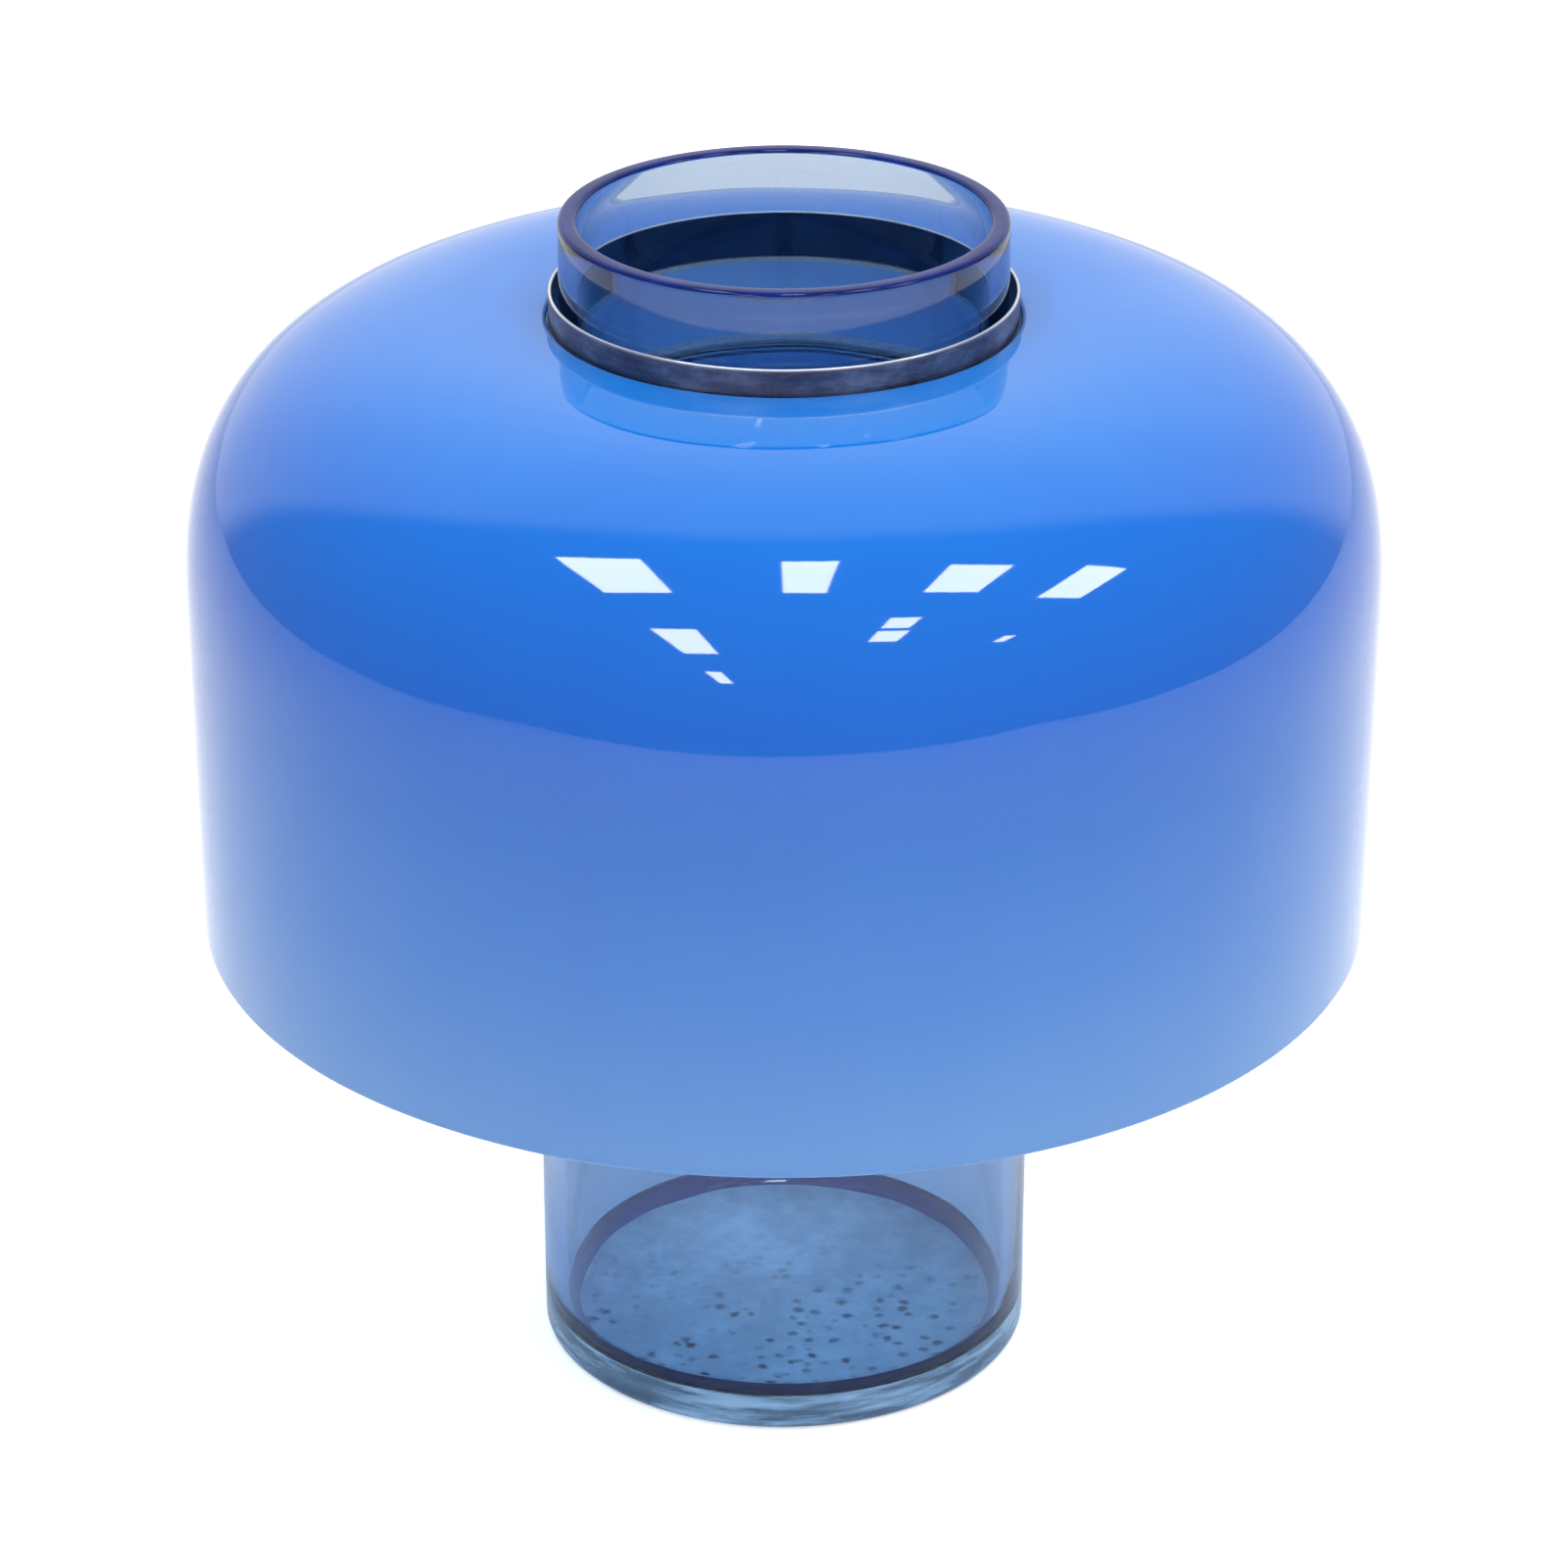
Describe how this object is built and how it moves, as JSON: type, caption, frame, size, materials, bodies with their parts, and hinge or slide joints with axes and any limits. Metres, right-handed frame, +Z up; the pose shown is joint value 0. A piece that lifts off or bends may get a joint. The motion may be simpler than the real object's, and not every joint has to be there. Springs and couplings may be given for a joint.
{
  "type": "table lamp",
  "caption": "Glass table lamp: a clear blue cylinder vessel whose neck rises through a cased blue dome shade, with lampholders hanging from a ring inside.",
  "frame": {"origin": "centre of the flat underside of the glass vessel", "axes": "+Z up along the axis of the vessel and the shade; -Y towards the viewer, +X to the right"},
  "size_m": [0.3892, 0.3893, 0.4],
  "materials": {
    "blue_glass": "clear light blue blown glass, polished",
    "blue_casing": "transparent blue casing glass, fire polished",
    "opal_glass": "white opal glass, smooth",
    "tarnished_metal": "brushed and tarnished, bright worn edge",
    "cement": "dull grey cement bead",
    "black_rubber": "matt black rubber",
    "lacquered_steel": "off-white stove lacquer",
    "black_bakelite": "moulded, soft gloss",
    "porcelain": "glazed white porcelain",
    "brass": "turned, plain",
    "nickelled_brass": "nickel plated, rolled thread",
    "black_glass": "opaque black glass bead",
    "solder": "dull solder",
    "opal_bulb": "opal white bulb glass, satin",
    "zinc_steel": "bright zinc plated",
    "cream_plastic": "moulded, matt",
    "brown_lead": "brown insulation",
    "blue_lead": "blue insulation",
    "green_lead": "green insulation with yellow stripe"
  },
  "bodies": {
    "base": {"glass_base": "blue_glass"},
    "shade": {"shade_casing": "blue_casing", "shade_lining": "opal_glass", "shade_collar": "tarnished_metal", "collar_cement": "cement"},
    "bulb_1": {"bulb_glass_1": "opal_bulb", "bulb_cap_1": "nickelled_brass", "bulb_insulator_1": "black_glass", "bulb_contact_1": "solder"},
    "bulb_2": {"bulb_glass_2": "opal_bulb", "bulb_cap_2": "nickelled_brass", "bulb_insulator_2": "black_glass", "bulb_contact_2": "solder"},
    "bulb_3": {"bulb_glass_3": "opal_bulb", "bulb_cap_3": "nickelled_brass", "bulb_insulator_3": "black_glass", "bulb_contact_3": "solder"},
    "fitting": {"block_screw": "zinc_steel", "bracket_nuts": "zinc_steel", "bracket_screws": "zinc_steel", "bushing_nut": "black_bakelite", "carrier_ring": "lacquered_steel", "centre_contact_1": "brass", "centre_contact_2": "brass", "centre_contact_3": "brass", "cord_bushing": "black_bakelite", "earth_lead": "green_lead", "earth_nut": "zinc_steel", "earth_screw": "zinc_steel", "earth_tag": "brass", "flange_nuts": "zinc_steel", "flange_screws": "zinc_steel", "holder_bracket_1": "lacquered_steel", "holder_bracket_2": "lacquered_steel", "holder_bracket_3": "lacquered_steel", "holder_cap_1": "black_bakelite", "holder_cap_2": "black_bakelite", "holder_cap_3": "black_bakelite", "holder_core_1": "porcelain", "holder_core_2": "porcelain", "holder_core_3": "porcelain", "holder_nipples": "brass", "holder_skirt_1": "black_bakelite", "holder_skirt_2": "black_bakelite", "holder_skirt_3": "black_bakelite", "live_leads": "brown_lead", "neutral_leads": "blue_lead", "nipple_nuts": "zinc_steel", "screw_shell_1": "brass", "screw_shell_2": "brass", "screw_shell_3": "brass", "shade_flange": "lacquered_steel", "shade_gasket": "black_rubber", "shoulder_gasket": "black_rubber", "terminal_block": "cream_plastic", "terminal_screws": "brass", "upright_left": "lacquered_steel", "upright_nuts": "zinc_steel", "upright_right": "lacquered_steel", "upright_screws": "zinc_steel"}
  },
  "joints": [
    {"name": "fitting_lift", "type": "slide", "parent": "base", "child": "fitting", "axis": [0, 0, 1], "range_m": [0, 0.2]},
    {"name": "shade_lift", "type": "slide", "parent": "fitting", "child": "shade", "axis": [0, 0, 1], "range_m": [0, 0.26]},
    {"name": "bulb_1_unscrew", "type": "slide", "parent": "fitting", "child": "bulb_1", "axis": [0, 0, -1], "range_m": [0, 0.15]},
    {"name": "bulb_2_unscrew", "type": "slide", "parent": "fitting", "child": "bulb_2", "axis": [0, 0, -1], "range_m": [0, 0.15]},
    {"name": "bulb_3_unscrew", "type": "slide", "parent": "fitting", "child": "bulb_3", "axis": [0, 0, -1], "range_m": [0, 0.15]}
  ]
}
